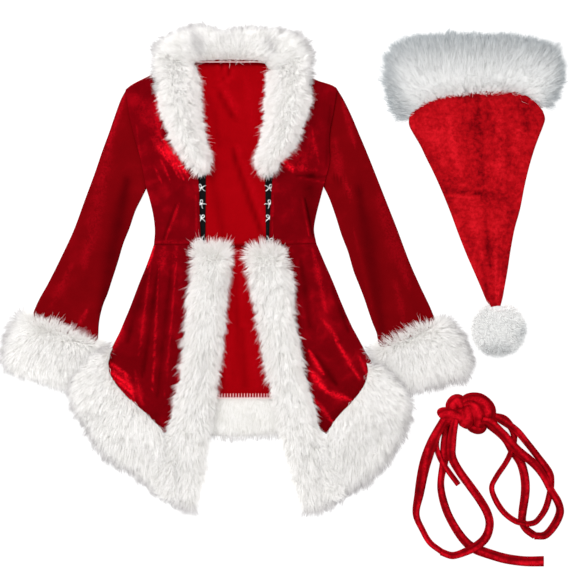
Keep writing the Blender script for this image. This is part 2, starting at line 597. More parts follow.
@dataclass(frozen=True)
class Velvet:
    """Crushed stretch velvet: a short nap that goes lighter where it is brushed or folded.

    Args:
        name: The material's name.
        shade: Colour in folds.
        body: Colour of the flat nap.
        light: Colour of lit streaks.
        crush: How strong the random mottling of the nap is.
        scale: Patches of the mottling to a metre.
    """

    name: str
    shade: str
    body: str
    light: str
    crush: float = 0.3
    scale: float = 30.0

    def build(self) -> bpy.types.Material:
        """Returns the material."""
        graph = Graph(self.name)
        shine = graph.attribute("shine")
        # Broad patches about 60 mm across, and the crushed marks of the nap in them
        marks = graph.noise(self.scale, 5.0, Roughness=0.62, Distortion=0.3)
        patches = graph.node("Mix", {"Factor": 0.4, 2: marks, 3: graph.noise(BROAD_PATCHES)})
        mottling = graph.spread(patches, (0.34, 0.66), (-self.crush, self.crush))
        # Fine crinkles, a few millimetres across, that break up the lit streaks
        crinkle = graph.noise(CRINKLES, 3.0, Distortion=2.0)
        broken = graph.spread(crinkle, (0.36, 0.62), (0.25, 1.25))
        lit, dark = (graph.math(way, shine, 0.0) for way in ("MAXIMUM", "MINIMUM"))
        mixed = graph.math("ADD", mottling, graph.math("MULTIPLY_ADD", broken, lit, dark))
        # The nap itself, finer than a millimetre
        nap = graph.noise(NAP)
        total = graph.math("ADD", mixed, graph.spread(nap, (0.0, 1.0), (-0.04, 0.04)))
        colour = graph.ramp(graph.spread(total, (-0.7, 1.0), (0.0, 1.0)),
                            (0.1, self.shade), (0.95, self.light), (0.42, self.body))
        fold = graph.bump(patches, 0.25, 0.002, Normal=graph.bump(nap, 0.2, 0.0006))
        return graph.close("BsdfPrincipled", {
            "Base Color": colour, "Roughness": 0.7, "Specular IOR Level": 0.0,
            "Sheen Weight": 0.3, "Sheen Roughness": 0.35, "Sheen Tint": linear(self.light),
            "Normal": fold,
        })


@dataclass(frozen=True)
class Fur:
    """Soft faux fur: pale fibres that let some light through.

    Args:
        name: The material's name.
        root: Colour deep in the pile.
        tip: Colour of the fibres' ends.
        rim: Colour of fibres that stick out at a loose edge.
    """

    name: str
    root: str
    tip: str
    rim: str

    def build(self) -> bpy.types.Material:
        """Returns the material."""
        graph = Graph(self.name)
        # Loose tufts differ a little from their neighbours
        tufts = graph.spread(graph.noise(LOOSE_TUFTS, 4.0), (0.3, 0.7), (-0.28, 0.12))
        pile = graph.ramp(graph.math("ADD", graph.attribute("along"), tufts),
                          (0.0, self.root), (0.85, self.tip))
        colour = graph.node("MixRGB", {
            "Fac": graph.attribute("rim"), "Color1": pile, "Color2": linear(self.rim),
        })
        diffuse, through = (graph.node(kind, {"Color": colour})
                            for kind in ("BsdfDiffuse", "BsdfTranslucent"))
        return graph.close("MixShader", {0: TRANSLUCENT_SHARE, 1: diffuse, 2: through})


@dataclass(frozen=True)
class Tape:
    """Woven black tape with a fine rib across it, about 0.8 mm apart."""

    name: str = "black_woven_tape"
    colour: str = "#040405"

    def build(self) -> bpy.types.Material:
        """Returns the material."""
        graph = Graph(self.name)
        rib = graph.node("TexWave", {"Vector": graph.place, "Scale": RIBS}, "Fac",
                         bands_direction="Y")
        return graph.close("BsdfPrincipled", {
            "Base Color": linear(self.colour), "Roughness": 0.7, "Specular IOR Level": 0.08,
            "Normal": graph.bump(rib, 0.6, 0.0004),
        })


@dataclass(frozen=True)
class Thread:
    """Spun sewing thread."""

    name: str = "pale_pink_thread"
    colour: str = "#F2C4C4"

    def build(self) -> bpy.types.Material:
        """Returns the material."""
        graph = Graph(self.name)
        return graph.close("BsdfPrincipled", {
            "Base Color": linear(self.colour), "Roughness": 0.7, "Specular IOR Level": 0.1,
            "Normal": graph.bump(graph.noise(TWIST), 0.5, 0.0002),
        })


@dataclass(frozen=True)
class Metal:
    """Nickel-plated wire."""

    name: str = "nickel_plated_wire"
    colour: str = "#D8D9DA"

    def build(self) -> bpy.types.Material:
        """Returns the material."""
        graph = Graph(self.name)
        return graph.close("BsdfPrincipled", {
            "Base Color": linear(self.colour), "Metallic": 1.0,
            "Roughness": graph.spread(graph.noise(WEAR), (0.0, 1.0), (0.18, 0.4)),
        })


@dataclass
class Solid:
    """A solid of the frame, asked for its heights in plan.

    Args:
        name: The node's name.
    """

    name: str
    tree: BVHTree = field(init=False)
    low: float = field(init=False)
    high: float = field(init=False)

    def __post_init__(self) -> None:
        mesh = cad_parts[self.name].data
        self.tree = BVHTree.FromPolygons(
            [v.co for v in mesh.vertices], [tuple(p.vertices) for p in mesh.polygons])
        low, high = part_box(self.name)
        self.low, self.high = low[2], high[2]

    def heights(self, x: np.ndarray, y: np.ndarray) -> tuple[np.ndarray, np.ndarray]:
        """Returns the underside and the top, in mm, at points in mm."""
        sides = []
        for way, nearest in ((-1, self.low), (1, self.high)):
            z = np.zeros(x.shape)
            for at in np.ndindex(x.shape):
                point = Vector((x[at] * MM, y[at] * MM, way * PROBE_ABOVE))
                hit = self.tree.ray_cast(point, Vector((0, 0, -way)))[0]
                if hit is None:
                    hit = self.tree.find_nearest(Vector((point.x, point.y, nearest)))[0]
                z[at] = hit.z / MM
            sides.append(z)
        return sides[0], sides[1]


def blurred(values: np.ndarray, passes: int) -> np.ndarray:
    """Returns a grid of values with its steps smoothed away."""
    for _ in range(passes):
        wide = np.pad(values, 1, mode="edge")
        values = (
            4 * wide[1:-1, 1:-1] + 2 * (wide[:-2, 1:-1] + wide[2:, 1:-1])
            + 2 * (wide[1:-1, :-2] + wide[1:-1, 2:])
        ) / 12
    return values


def smooth_rows(rows: Rows, count: int) -> np.ndarray:
    """Returns count + 1 rows on a smooth curve through the given rows."""
    width = max(len(row) for row in rows)
    table = np.array([list(row) + [0.0] * (width - len(row)) for row in rows], float)
    padded = np.vstack([2 * table[0] - table[1], table, 2 * table[-1] - table[-2]])
    place = np.linspace(0, len(rows) - 1, count + 1)
    first = np.minimum(place.astype(int), len(rows) - 2)
    t = (place - first)[:, None]
    p0, p1, p2, p3 = (padded[first + k] for k in range(4))
    return 0.5 * (2 * p1 + (p2 - p0) * t + (2 * p0 - 5 * p1 + 4 * p2 - p3) * t**2
                  + (3 * p1 - p0 - 3 * p2 + p3) * t**3)


def ribbon_rows(line: Rows) -> Rows:
    """Returns the outline rows of a ribbon from its middle line and widths."""
    table = np.array(line, float)
    run = np.gradient(table[:, :2], axis=0)
    run /= np.linalg.norm(run, axis=1, keepdims=True)
    table[0, :2] -= BELT_LAP * run[0]
    table[-1, :2] += BELT_LAP * run[-1]
    side = np.stack([run[:, 1], -run[:, 0]], axis=1) * table[:, 2:3] / 2
    return tuple(map(tuple, np.hstack([table[:, :2] - side, table[:, :2] + side])))


@dataclass
class Plan:
    """A piece in plan, as a fine grid of rows and columns on its outline.

    Args:
        rows: The outline's rows.
        down: Number of steps along the piece.
        across: Number of steps across it.
    """

    rows: Rows
    down: int
    across: int
    u: np.ndarray = field(init=False)
    v: np.ndarray = field(init=False)

    def __post_init__(self) -> None:
        spread = (1 - np.cos(np.linspace(0, math.pi, self.across + 1))) / 2
        even = np.linspace(0, 1, self.across + 1)
        self.u, self.v = np.meshgrid(0.5 * (spread + even), np.linspace(0, 1, self.down + 1))

    def points(self, inset: float = 0.0, first: float = 0.0, right: float | None = None,
               last: float | None = None) -> tuple[np.ndarray, np.ndarray]:
        """Returns x and y of the grid, drawn in from its outline.

        Args:
            inset: How far from the left edge, in mm.
            first: How far from the first row.
            right: How far from the right edge, where it differs from the left.
            last: How far from the last row, where it differs from the first.
        """
        right = inset if right is None else right
        last = first if last is None else last
        lines = smooth_rows(self.rows, self.down)
        near, far = lines[:, None, 0:2], lines[:, None, 2:4]
        bow = lines[:, None, 4] if lines.shape[1] > 4 else np.zeros((len(lines), 1))
        span = np.linalg.norm(far - near, axis=2)
        low, high = (np.minimum(side / np.maximum(span, 1e-6), 0.3) for side in (inset, right))
        u = low + (1 - low - high) * self.u
        x = near[..., 0] + (far[..., 0] - near[..., 0]) * u
        y = near[..., 1] + (far[..., 1] - near[..., 1]) * u + bow * (1 - (2 * u - 1) ** 4)
        length = np.hypot(np.diff(x, axis=0), np.diff(y, axis=0)).sum(axis=0).mean()
        steps = np.linspace(0, 1, self.down + 1)
        place = (first + (length - first - last) * steps) / length
        x, y = (np.stack([np.interp(place, steps, column) for column in values.T], axis=1)
                for values in (x, y))
        return x, y

    def probe(self) -> tuple[np.ndarray, np.ndarray]:
        """Returns points just inside the outline, where heights are asked."""
        return self.points(inset=2.5, first=1.5)


def add_object(name: str, data: bpy.types.ID) -> bpy.types.Object:
    """Links a new object of some data, and returns it."""
    obj = bpy.data.objects.new(name, data)
    bpy.context.scene.collection.objects.link(obj)
    return obj


def mesh_object(name: str, bm: bmesh.types.BMesh, material: bpy.types.Material):
    """Makes an object of a bmesh, smooth all over, and links it."""
    mesh = bpy.data.meshes.new(name)
    bm.to_mesh(mesh)
    bm.free()
    mesh.polygons.foreach_set("use_smooth", [True] * len(mesh.polygons))
    mesh.materials.append(material)
    return add_object(name, mesh)


def grid_bmesh(points: np.ndarray) -> bmesh.types.BMesh:
    """Returns a grid with its vertices at the given points, in mm.

    Args:
        points: Array of rows, columns and three coordinates.
    """
    down, across = points.shape[0] - 1, points.shape[1] - 1
    bm = bmesh.new()
    bmesh.ops.create_grid(bm, x_segments=across, y_segments=down, size=0.5)
    for vertex in bm.verts:
        row = round((vertex.co.y + 0.5) * down)
        column = round((vertex.co.x + 0.5) * across)
        vertex.co = points[row, column] * MM
    return bm


def ring_points(under: np.ndarray, top: np.ndarray) -> np.ndarray:
    """Returns the points round a laid section: along its underside and back along its top."""
    return np.concatenate([under, top[:, -2:0:-1], under[:, :1]], axis=1)


def welded_bmesh(points: np.ndarray) -> bmesh.types.BMesh:
    """Returns a grid with its meeting edges made one, and its normals outwards."""
    bm = grid_bmesh(points)
    edge = [v for v in bm.verts if v.is_boundary]
    bmesh.ops.remove_doubles(bm, verts=edge, dist=0.01 * MM)
    bmesh.ops.holes_fill(bm, edges=[e for e in bm.edges if e.is_boundary], sides=0)
    bmesh.ops.recalc_face_normals(bm, faces=bm.faces[:])
    return bm


def hollow_bmesh(outer: np.ndarray, inner: np.ndarray) -> bmesh.types.BMesh:
    """Returns a tube with a wall, open at both ends, from its outer and inner rings."""
    return welded_bmesh(np.concatenate([outer, inner[::-1], outer[:1]], axis=0))


def paint_shine(obj: bpy.types.Object, strokes: tuple[Stroke, ...]) -> None:
    """Writes how light the nap is at each vertex."""
    count = len(obj.data.vertices)
    place = np.empty(count * 3)
    obj.data.vertices.foreach_get("co", place)
    place = place.reshape(-1, 3) / MM
    shine = np.zeros(count)
    for mark in strokes:
        shine += mark.shine * mark.weight(place[:, 0], place[:, 1])
    layer = obj.data.attributes.new("shine", "FLOAT", "POINT")
    layer.data.foreach_set("value", np.clip(shine, -0.7, 1.0))


@dataclass
class ClothPanel:
    """A flat panel of velvet on its solid, with soft folds.

    Args:
        node: The node that it stands for.
        finish: Its material.
        flat: Width and length of its cut, in metres.
        down: Steps along it.
        across: Steps across it.
    """

    node: str
    finish: bpy.types.Material
    flat: tuple[float, float]
    down: int = 90
    across: int = 44
    layers: ClassVar[int] = 1

    def build(self) -> bpy.types.Object:
        """Returns the finished panel."""
        plan = Plan(OUTLINES[self.node], self.down, self.across)
        x, y = plan.points()
        _, top = Solid(self.node).heights(*plan.probe())
        height = blurred(top, 6)
        for mark in STROKES.get(self.node, ()):
            height = height + mark.lift * mark.weight(x, y)
        height -= EDGE_DIP * np.exp(-np.minimum(plan.u, 1 - plan.u) * EDGE_FALL)
        bm = grid_bmesh(np.stack([x, y, np.maximum(height, CLOTH_WALL + 0.1)], axis=2))
        bmesh.ops.recalc_face_normals(bm, faces=bm.faces[:])
        if bm.faces[0].normal.z < 0:
            bmesh.ops.reverse_faces(bm, faces=bm.faces[:])
        bmesh.ops.solidify(bm, geom=bm.faces[:], thickness=CLOTH_WALL * MM)
        obj = mesh_object(self.node + "_cloth", bm, self.finish)
        paint_shine(obj, STROKES.get(self.node, ()))
        return self._declare(obj)

    def _declare(self, obj: bpy.types.Object) -> bpy.types.Object:
        """Says what the piece is, and returns it."""
        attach(obj, "root")
        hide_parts(self.node)
        lies_on(self.node)
        return obj


@dataclass
class ClothTube(ClothPanel):
    """A sleeve, a hat's cone or a belt: a tube of velvet laid flat, with both layers.

    Args:
        level: How far its top is pressed level across, from 0 to 1.
    """

    level: float = 0.0
    layers: ClassVar[int] = 2

    @staticmethod
    def _ring(plan: Plan, x, y, middle: np.ndarray, half: np.ndarray) -> np.ndarray:
        """Returns the points round the tube, rounded at its two long edges."""
        half = half * (1 - np.abs(2 * plan.u - 1) ** 8) ** 0.5
        lower = np.stack([x, y, middle - half], axis=2)
        return ring_points(lower, np.stack([x, y, middle + half], axis=2))

    def build(self) -> bpy.types.Object:
        """Returns the finished tube."""
        plan = Plan(OUTLINES[self.node], self.down, self.across)
        x, y = plan.points()
        under, top = Solid(self.node).heights(*plan.probe())
        under, top = blurred(under, 4), blurred(top, 6)
        top += self.level * (top.max(axis=1, keepdims=True) - top)
        for mark in STROKES.get(self.node, ()):
            top = top + mark.lift * mark.weight(x, y)
        outer = self._ring(plan, x, y, (under + top) / 2, (top - under) / 2)
        inner = self._ring(plan, *plan.points(inset=SLEEVE_WALL), (under + top) / 2,
                           np.maximum((top - under) / 2 - SLEEVE_WALL, 0.1))
        obj = mesh_object(self.node + "_cloth", hollow_bmesh(outer, inner), self.finish)
        paint_shine(obj, STROKES.get(self.node, ()))
        return self._declare(obj)


@dataclass(frozen=True)
class Flow:
    """Which way a strip's pile is brushed.

    Args:
        across: How far it fans out towards the two long edges.
        start: Its lean along the strip at the first row, negative backwards.
        end: Its lean along the strip at the last row.
        lift: How steeply it stands.
        sideways: A lean across the whole strip, positive towards its right edge.
        turn: Share of the strip's length over which the first lean turns into the second.
        stray: How much single fibres stray from it.
    """

    across: float = 0.9
    start: float = -0.3
    end: float = 0.9
    lift: float = 0.5
    sideways: float = 0.0
    turn: float = 0.1
    stray: float = 0.24


@dataclass(frozen=True)
class Pile:
    """The fibres of a piece of fur, as narrow blades of two triangles in one mesh.

    Args:
        count: How many fibres.
        flow: Which way they lie.
        seed: Start of the random numbers.
        length: Their mean length, in mm.
        gather: How strongly tips draw together into tufts.
        ceiling: Height that the fibres are pressed under, in mm.
        rim: How far in from its left, right, first and last edge the pile is darker, in mm.
        rim_until: Share of its length after which its long edges have no rim.
        bare: Box in plan that no fibre reaches into: low x, low y, high x, high y.
    """

    count: int
    flow: Flow
    seed: int
    length: float = 21.0
    gather: float = 0.5
    ceiling: float = 67.0
    rim: tuple[float, ...] = (0, 0, 0, 0)
    rim_until: float = 1.0
    bare: tuple[float, ...] = (0, 0, 0, 0)

    def mirrored(self) -> "Pile":
        """Returns the pile of the piece on the other side, with the next seed."""
        left, right, first, last = self.rim
        return replace(self, seed=self.seed + 1, rim=(right, left, first, last),
                       flow=replace(self.flow, sideways=-self.flow.sideways))

    def build(self, piece: str, surface: np.ndarray, plan: Plan, material: bpy.types.Material):
        """Grows the fibres from a grid of points and returns their object.

        Args:
            piece: The piece that they belong to.
            surface: Rows, columns and coordinates of the backing's top, in mm.
            plan: The grid's places across and along.
            material: The fibres' finish.
        """
        rng = np.random.default_rng(self.seed)
        along, sideways = np.gradient(surface, axis=(0, 1))
        normal = np.cross(sideways, along)
        below = surface.mean(axis=(0, 1)) - (0, 0, 30)
        normal *= np.sign(np.sum(normal * (surface - below)))
        at = self._picks(rng, np.linalg.norm(normal, axis=2), plan)
        root, n, a, s = (self._sample(g, at) for g in (surface, normal, along, sideways))
        n, a, s = (self._unit(g) for g in (n, a, s))
        u, v = (self._sample(g[..., None], at)[:, 0] for g in (plan.u, plan.v))
        flow = self.flow
        fan = (2 * u - 1) * np.abs(2 * u - 1)
        lean = (s * (flow.across * fan + flow.sideways)[:, None]
                + a * (flow.end + (flow.start - flow.end) * np.exp(-v / flow.turn))[:, None])
        jitter = rng.normal(0, flow.stray, (len(root), 3))
        first = self._unit(n * flow.lift + ROOT_LEAN * lean + jitter)
        second = self._unit(first + TIP_LEAN * lean - n * TIP_DROOP + 0.5 * jitter)
        owner = self._tufts(rng, root)
        reach = self.length * rng.uniform(*FIBRE_LENGTHS, (len(root), 1))
        reach *= rng.uniform(*TUFT_LENGTHS, len(root))[owner][:, None]
        guard = (rng.random((len(root), 1)) < GUARD_SHARE).astype(float)
        reach *= 1 + GUARD_LONGER * guard
        middle = root + first * reach * 0.5
        tip = middle + second * reach * 0.5
        pull = self.gather * rng.uniform(*TUFT_PULLS, (len(root), 1))
        pull = pull * (1 - GUARD_LOOSER * guard)
        draw = pull * (tip[owner] + TUFT_SPREAD * (root - root[owner]) - tip)
        middle, tip = middle + MIDDLE_PULL * draw, tip + draw
        side = self._unit(np.cross(n, tip - root)) * (FIBRE_WIDTH / 2)
        side = side * (1 - GUARD_THINNER * guard)
        points = np.stack([root, middle - side, middle + side, tip], axis=1)
        points[..., 2] = self._pressed(points[..., 2])
        rim = self._rims(surface, u, v)
        for mark in STROKES.get(piece, ()):
            rim = np.maximum(rim, -mark.shine * mark.weight(root[:, 0], root[:, 1]))
        low, high = self.bare[:2], self.bare[2:]
        inside = ((points[..., :2] > low) & (points[..., :2] < high)).all(axis=2).any(axis=1)
        return self._object(piece + "_pile", points[~inside], rim[~inside], material)

    def _pressed(self, z: np.ndarray) -> np.ndarray:
        """Returns heights that bend over above the knee and stay under the ceiling."""
        knee = KNEE * self.ceiling
        over = np.maximum(z - knee, 0.0)
        pressed = knee + (self.ceiling - knee) * (1 - np.exp(-over / (self.ceiling - knee)))
        return np.maximum(np.where(over > 0, pressed, z), 0.3)

    def _rims(self, surface: np.ndarray, u: np.ndarray, v: np.ndarray) -> np.ndarray:
        """Returns how near each fibre is to a loose edge, from 0 to 1."""
        length, width = (np.linalg.norm(np.diff(surface, axis=k), axis=2).sum(axis=k).mean()
                         for k in (0, 1))
        away = (u * width, (1 - u) * width, v * length, (1 - v) * length)
        until = (self.rim_until, self.rim_until, 1.0, 1.0)
        return np.max([np.exp(-((d / max(reach, 0.1)) ** 2)) * (v <= share)
                       for d, reach, share in zip(away, self.rim, until)], axis=0)

    def _picks(self, rng, size: np.ndarray, plan: Plan) -> np.ndarray:
        """Returns random places on the grid, even by area, as fractional row and column."""
        cells = size[:-1, :-1] + 1e-9
        chosen = rng.choice(cells.size, self.count, p=(cells / cells.sum()).ravel())
        row, column = np.divmod(chosen, cells.shape[1])
        return np.stack([row + rng.random(self.count), column + rng.random(self.count)])

    @staticmethod
    def _sample(grid: np.ndarray, at: np.ndarray) -> np.ndarray:
        """Returns the grid's values at fractional places."""
        row, column = at[0].astype(int), at[1].astype(int)
        r, c = (at[0] - row)[:, None], (at[1] - column)[:, None]
        return ((1 - r) * ((1 - c) * grid[row, column] + c * grid[row, column + 1])
                + r * ((1 - c) * grid[row + 1, column] + c * grid[row + 1, column + 1]))

    @staticmethod
    def _unit(vectors: np.ndarray) -> np.ndarray:
        """Returns the vectors at length 1."""
        return vectors / np.maximum(np.linalg.norm(vectors, axis=-1, keepdims=True), 1e-9)

    @staticmethod
    def _tufts(rng, root: np.ndarray) -> np.ndarray:
        """Returns, for each fibre, the one that its tuft leans with."""
        leaders = rng.choice(len(root), max(len(root) // FIBRES_IN_TUFT, 1), replace=False)
        tree = KDTree(len(leaders))
        for i, leader in enumerate(leaders):
            tree.insert(root[leader], i)
        tree.balance()
        return np.array([leaders[tree.find(point)[1]] for point in root])

    @staticmethod
    def _object(name: str, points: np.ndarray, rim: np.ndarray, material: bpy.types.Material):
        """Returns one mesh object of all the blades, each a root, two sides and a tip."""
        count = len(points)
        faces = np.array([[0, 2, 1], [1, 2, 3]])
        corners = (faces[None] + 4 * np.arange(count)[:, None, None]).reshape(-1)
        mesh = bpy.data.meshes.new(name)
        mesh.vertices.add(4 * count)
        mesh.vertices.foreach_set("co", (points * MM).reshape(-1))
        mesh.loops.add(len(corners))
        mesh.loops.foreach_set("vertex_index", corners)
        mesh.polygons.add(len(corners) // 3)
        mesh.polygons.foreach_set("loop_start", np.arange(0, len(corners), 3))
        mesh.polygons.foreach_set("use_smooth", np.ones(len(corners) // 3, bool))
        mesh.update(calc_edges=True)
        painted = {"along": np.tile([0.0, 0.55, 0.55, 1.0], count),
                   "rim": np.outer(rim, [0.1, 0.4, 0.4, 1.0]).ravel()}
        for layer, values in painted.items():
            mesh.attributes.new(layer, "FLOAT", "POINT").data.foreach_set("value", values)
        mesh.materials.append(material)
        obj = add_object(name, mesh)
        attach(obj, "root")
        return obj


@dataclass(frozen=True)
class FurStrip:
    """A strip of faux fur: a soft backing as closed mesh, and its pile.

    Args:
        node: The node that it stands for.
        finish: Its material.
        flat: Width and length of its cut, in metres.
        pile: Its fibres.
        core: Share of the solid's height that the backing takes.
        hollow: Whether the strip is a tube round an opening.
        down: Steps along it.
        across: Steps across it.
        left: How far its backing stays inside its outline at the left edge, in mm.
        right: The same at the right edge.
        first: The same at the first row.
        last: The same at the last row.
    """

    node: str
    finish: bpy.types.Material
    flat: tuple[float, float]
    pile: Pile
    core: float = 0.55
    hollow: bool = False
    down: int = 90
    across: int = 22
    left: float = 8.0
    right: float = 8.0
    first: float = 6.0
    last: float = 6.0

    def mirrored(self) -> "FurStrip":
        """Returns the strip of the right side that goes with this one of the left."""
        return replace(self, node=self.node.replace("left", "right"), left=self.right,
                       right=self.left, pile=self.pile.mirrored())

    def build(self) -> bpy.types.Object:
        """Returns the backing, with its pile on it."""
        plan = Plan(OUTLINES[self.node], self.down, self.across)
        x, y = plan.points(self.left, self.first, self.right, self.last)
        under, top = Solid(self.node).heights(*plan.probe())
        under, top = blurred(under, 3), blurred(top, 5)
        crown = under + (top - under) * self.core
        rounding = (self._shoulder(plan.u, self.left) * self._shoulder(1 - plan.u, self.right)
                    * self._shoulder(plan.v, self.first) * self._shoulder(1 - plan.v, self.last))
        upper = under + 1 + (crown - under - 1 + self._lumps(x, y)) * rounding
        surface, lower = (np.stack([x, y, z], axis=2) for z in (upper, under + BACKING_LIFT))
        lower[:, (0, -1), 2] = upper[:, (0, -1)]
        if self.hollow:
            middle = (under + upper) / 2
            half = np.maximum((upper - under) / 2 - BACKING_WALL, 0.1)
            inner = ring_points(*(np.stack([x, y, z], axis=2)
                                  for z in (middle - half, middle + half)))
            centre = inner[..., :2].mean(axis=1, keepdims=True)
            inner[..., :2] += INNER_SHRINK * (centre - inner[..., :2])
            bm = hollow_bmesh(ring_points(lower, surface), inner)
        else:
            bm = welded_bmesh(ring_points(lower, surface))
        obj = mesh_object(self.node + "_backing", bm, self.finish)
        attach(obj, "root")
        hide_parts(self.node)
        pile = self.pile.build(self.node, surface, plan, self.finish)
        lies_on(self.node)
        return obj

    @staticmethod
    def _shoulder(place: np.ndarray, margin: float) -> np.ndarray:
        """Returns how full the backing is near an edge: soft where free, full where sewn."""
        low = FREE_EDGE if margin > 2 else SEWN_EDGE
        return low + (1 - low) * np.clip(place / SHOULDER, 0, 1) ** 0.5

    def _lumps(self, x: np.ndarray, y: np.ndarray) -> np.ndarray:
        """Returns gentle swells of the pile, in mm."""
        seed = self.pile.seed
        return (1.1 * np.sin(x / 17 + 1.3 * seed) * np.sin(y / 21 + 0.7 * seed)
                + 0.7 * np.sin(x / 9 + y / 13 + seed))


@dataclass
class Coat:
    """The coat dress: its velvet body, sleeves, fur edges, and hook tapes."""

    velvet: bpy.types.Material
    sleeve: bpy.types.Material
    inside: bpy.types.Material
    fur: bpy.types.Material
    tape: bpy.types.Material
    metal: bpy.types.Material
    thread: bpy.types.Material

    def build(self) -> None:
        """Builds every piece of the coat."""
        self.cloth()
        self.sleeves()
        self.fur_edges()
        self.overlock()
        self.neck_seam()
        self.tapes()

    def cloth(self) -> None:
        """Builds the body panels."""
        ClothPanel("back_bodice", self.inside, (0.43, 0.38), down=80, across=50).build()
        ClothPanel("back_skirt", self.inside, (0.53, 0.31), down=80, across=56).build()
        for side in SIDES:
            ClothPanel(f"front_bodice_{side}", self.velvet, (0.16, 0.35)).build()
            ClothPanel(f"front_skirt_{side}", self.velvet, (0.19, 0.39), down=110).build()

    def sleeves(self) -> None:
        """Builds both sleeves."""
        for side in SIDES:
            ClothTube(f"sleeve_{side}", self.sleeve, (0.34, 0.49), down=96, across=24).build()

    def fur_edges(self) -> None:
        """Builds the collar, lapels, bands, hems and cuffs."""
        FurStrip("hem_back", self.fur, (0.1, 0.54), Pile(
            13000, Flow(0.2, 0.0, 0.0, lift=0.4, sideways=0.9), 11, length=15, ceiling=11.5,
            rim=(0, 9, 0, 0)), across=16, left=0).build()
        pairs = (
            FurStrip("cuff_left", self.fur, (0.37, 0.13), Pile(
                21000, Flow(0.7, -0.8, 0.8, lift=0.4, turn=0.16, stray=0.16), 12, gather=0.32,
                rim=(10, 10, 0, 10)), core=0.66, hollow=True, across=30, down=40),
            FurStrip("hem_front_left", self.fur, (0.13, 0.4), Pile(
                25000, Flow(0.2, -0.3, 0.5, sideways=-0.75, stray=0.16), 14, gather=0.36,
                rim=(10, 0, 10, 0)), right=-3, last=0),
            FurStrip("front_band_left", self.fur, (0.1, 0.54), Pile(
                29000, Flow(0.65, -0.8, 0.8, turn=0.05), 16, rim=(0, 0, 0, 10)),
                left=14, right=14),
            FurStrip("lapel_left", self.fur, (0.11, 0.25), Pile(
                21000, Flow(1.4, 0.2, 0.5), 18, gather=0.65, rim=(5, 0, 0, 0), rim_until=0.24),
                left=12, right=14, first=0),
        )
        for strip in pairs:
            strip.build()
            strip.mirrored().build()
        FurStrip("collar_back", self.fur, (0.11, 0.4), Pile(
            26000, Flow(0.3, 0.0, 0.0, lift=0.3, sideways=-0.65, stray=0.16), 20,
            rim=(10, 0, 0, 0)), left=12, right=2, first=0, last=0).build()
        for side in SIDES:
            self.corner(side)

    def corner(self, side: str) -> None:
        """Lays loose fibres over the seam where a front band meets its hem."""
        plan = Plan(OUTLINES[f"hem_corner_{side}"], 40, 10)
        x, y = plan.points()
        hem, band = (Solid(f"{kind}_{side}").heights(x, y)[1]
                     for kind in ("hem_front", "front_band"))
        surface = np.stack([x, y, CORNER_SINK * blurred(np.maximum(hem, band), 6)], axis=2)
        lean = -0.4 if side == "left" else 0.4
        Pile(4500, Flow(0.3, 0.2, 0.5, 0.35, lean), 51, length=17).build(
            f"hem_corner_{side}", surface, plan, self.fur)

    def tapes(self) -> None:
        """Builds the hook tapes, each with its five hooks."""
        for side in SIDES:
            ClothPanel(f"hook_tape_{side}", self.tape, (0.025, 0.15), across=8, down=60).build()
            for number, (y, turn) in enumerate(zip(HOOK_Y, HOOK_TURN), start=1):
                self.hook(side, number, y, math.radians(turn))

    def overlock(self) -> None:
        """Sews the back hem on with pale overlock stitches that show from the inside."""
        (low, high), width = OVERLOCK_EDGES, OVERLOCK_THREAD
        x = np.arange(*OVERLOCK_ENDS, OVERLOCK_PITCH)
        _, top = Solid("hem_back").heights(x, np.full(x.shape, low - width))
        line = tuple((at + side, y, z + 1.6, width, width) for at, z in zip(x, top)
                     for side, y in ((-width / 2, low), (0.0, high), (width / 2, low)))
        Cord("hem_overlock_stitches", self.thread, line, steps=5 * len(line), around=5).build()

    def neck_seam(self) -> None:
        """Lays the pale seam line along the inner edge of the back collar."""
        x = np.linspace(*NECK_SEAM_ENDS, 15)
        _, top = Solid("back_bodice").heights(x, np.full(x.shape, NECK_SEAM_Y - 1.5))
        line = tuple((px, NECK_SEAM_Y, z + 3.0, 2.4, 1.6) for px, z in zip(x, top))
        Cord("neck_seam", self.thread, line, steps=60, around=6).build()

    def hook(self, side: str, number: int, y: float, turn: float) -> None:
        """Builds one hook, turned by an angle and mirrored on the right side."""
        node = f"hook_{side}_{number}"
        low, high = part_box(node)
        height = (low[2] + high[2]) / (2 * MM) + (
            LAST_HOOK_RISE if number == len(HOOK_Y) else HOOK_RISE)
        flip = 1 if side == "left" else -1
        line = tuple(
            (HOOK_X[side] + flip * (px * math.cos(turn) - py * math.sin(turn)),
             y + px * math.sin(turn) + py * math.cos(turn),
             height + 0.5 * math.sin(1.3 * i), HOOK_WIRE_WIDTH, HOOK_WIRE_WIDTH)
            for i, (px, py) in enumerate(HOOK_SIZE * np.array(HOOK_WIRE)))
        obj = Cord(node + "_wire", self.metal, line, steps=64, around=6).build()
        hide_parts(node)


@dataclass
class Hat:
    """The pointed hat: velvet cone, fur band and fur pompom."""

    velvet: bpy.types.Material
    fur: bpy.types.Material

    def build(self) -> None:
        """Builds the hat's pieces."""
        ClothTube("hat_cone", self.velvet, (0.56, 0.45), down=90, across=36).build()
        FurStrip("hat_band", self.fur, (0.74, 0.17), Pile(
            44000, Flow(0.9, 0.8, 0.95, stray=0.22), 31, length=25, gather=0.65,
            rim=(26, 22, 0, 50)), core=0.66, hollow=True, across=45, down=40,
            left=14, right=18, first=0, last=15).build()
        FurBall(self.fur).build()


